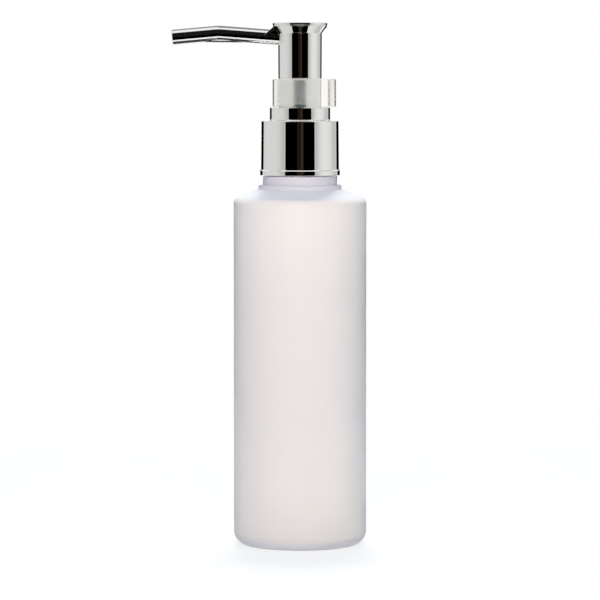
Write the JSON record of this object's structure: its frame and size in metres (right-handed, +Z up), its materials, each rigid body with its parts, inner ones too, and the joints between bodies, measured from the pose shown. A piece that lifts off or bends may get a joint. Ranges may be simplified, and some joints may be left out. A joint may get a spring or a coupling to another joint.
{
  "type": "pump bottle",
  "caption": "Slim round frosted cosmetic bottle with a screw-on chromed lotion pump, a long bent spout and a clear clip that locks the head.",
  "frame": {"origin": "centre of the ring that the bottle stands on, on the bottle's axis", "axes": "+Z up along the bottle's axis, -X along the spout, +Y to the back, where the clip is open"},
  "size_m": [0.0704, 0.048, 0.1892],
  "materials": {
    "frosted_plastic": "frosted, translucent, satin",
    "gasket_foam": "closed-cell foam",
    "natural_plastic": "natural polypropylene, slightly translucent",
    "dip_tube_plastic": "extruded, translucent",
    "ball_glass": "polished",
    "spring_steel": "drawn wire",
    "piston_plastic": "soft polyethylene",
    "white_plastic": "moulded, semi-gloss",
    "chromed_shell": "mirror bright",
    "chromed_head": "mirror bright",
    "chromed_tube": "mirror bright",
    "satin_metal": "satin, turned",
    "clear_plastic": "clear moulded plastic"
  },
  "bodies": {
    "bottle": {"bottle": "frosted_plastic"},
    "gasket": {"gasket": "gasket_foam"},
    "pump": {"pump_housing": "natural_plastic", "stem_retainer": "natural_plastic", "dip_tube": "dip_tube_plastic", "return_spring": "spring_steel"},
    "closure": {"closure_cap": "white_plastic", "closure_shell": "chromed_shell"},
    "ball": {"inlet_ball": "ball_glass"},
    "plunger": {"stem": "natural_plastic", "stem_plug": "natural_plastic"},
    "piston": {"piston_seal": "piston_plastic"},
    "head": {"head_core": "white_plastic", "head_shell": "chromed_head", "stem_sleeve": "satin_metal", "spout_tube": "chromed_tube"},
    "clip": {"clip_lock": "clear_plastic"}
  },
  "joints": [
    {"name": "pump_lift_off", "type": "slide", "parent": "bottle", "child": "gasket", "axis": [0, 0, 1], "range_m": [0, 0.155]},
    {"name": "thread_rise", "type": "slide", "parent": "gasket", "child": "pump", "axis": [0, 0, 1], "range_m": [0, 0.00476]},
    {"name": "closure_turn", "type": "hinge", "parent": "pump", "child": "closure", "pos_m": [0, 0, 0.145], "axis": [0, 0, 1], "range_deg": [0, 540]},
    {"name": "head_press", "type": "slide", "parent": "pump", "child": "plunger", "axis": [0, 0, -1], "range_m": [0, 0.0096], "stiffness_N_per_m": 800, "springref_m": -0.008, "deforming": ["return_spring"]},
    {"name": "head_swivel", "type": "hinge", "parent": "plunger", "child": "head", "pos_m": [0, 0, 0.175], "axis": [0, 0, 1], "continuous": true},
    {"name": "piston_shift", "type": "slide", "parent": "plunger", "child": "piston", "axis": [0, 0, 1], "range_m": [0, 0.001]},
    {"name": "ball_lift", "type": "slide", "parent": "pump", "child": "ball", "axis": [0, 0, 1], "range_m": [0, 0.0012]},
    {"name": "clip_pull", "type": "slide", "parent": "closure", "child": "clip", "axis": [0, -1, 0], "range_m": [0, 0.03]}
  ],
  "couplings": [
    {"joint": "thread_rise", "follows": "closure_turn", "m_per_rad": 0.00050532}
  ]
}
